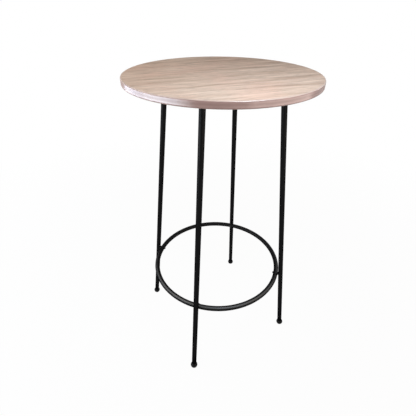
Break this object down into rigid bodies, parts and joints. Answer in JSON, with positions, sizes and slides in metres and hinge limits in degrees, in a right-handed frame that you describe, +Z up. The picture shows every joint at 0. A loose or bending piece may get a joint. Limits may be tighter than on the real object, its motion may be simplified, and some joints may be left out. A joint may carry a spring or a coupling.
{
  "type": "bar table",
  "caption": "Tall round table: a wood-look disc top on splayed black tubular steel legs with ball feet and a ring-shaped foot rest.",
  "frame": {"origin": "on the floor, below the centre of the round top", "axes": "+Z up along the table's axis; the front leg is on -Y and the right leg on +X"},
  "size_m": [0.668, 0.668, 1.1],
  "materials": {
    "oak_laminate": "satin wood-grain laminate",
    "board": "raw fibre board",
    "backing_laminate": "plain matt",
    "edge_band": "semi-gloss",
    "black_steel": "satin powder coat",
    "black_bolt": "black zinc",
    "zinc_steel": "zinc plated",
    "black_plastic": "moulded"
  },
  "bodies": {
    "root": {"backing_laminate": "backing_laminate", "edge_band": "edge_band", "foot_back": "black_plastic", "foot_front": "black_plastic", "foot_left": "black_plastic", "foot_right": "black_plastic", "foot_ring": "black_steel", "leg_back": "black_steel", "leg_front": "black_steel", "leg_left": "black_steel", "leg_plate_back": "black_steel", "leg_plate_front": "black_steel", "leg_plate_left": "black_steel", "leg_plate_right": "black_steel", "leg_right": "black_steel", "leg_weld_back": "black_steel", "leg_weld_front": "black_steel", "leg_weld_left": "black_steel", "leg_weld_right": "black_steel", "plate_screws": "zinc_steel", "ring_bolts": "black_bolt", "ring_rivet_nuts": "zinc_steel", "ring_spacers": "black_plastic", "top_core": "board", "top_laminate": "oak_laminate"}
  },
  "joints": []
}
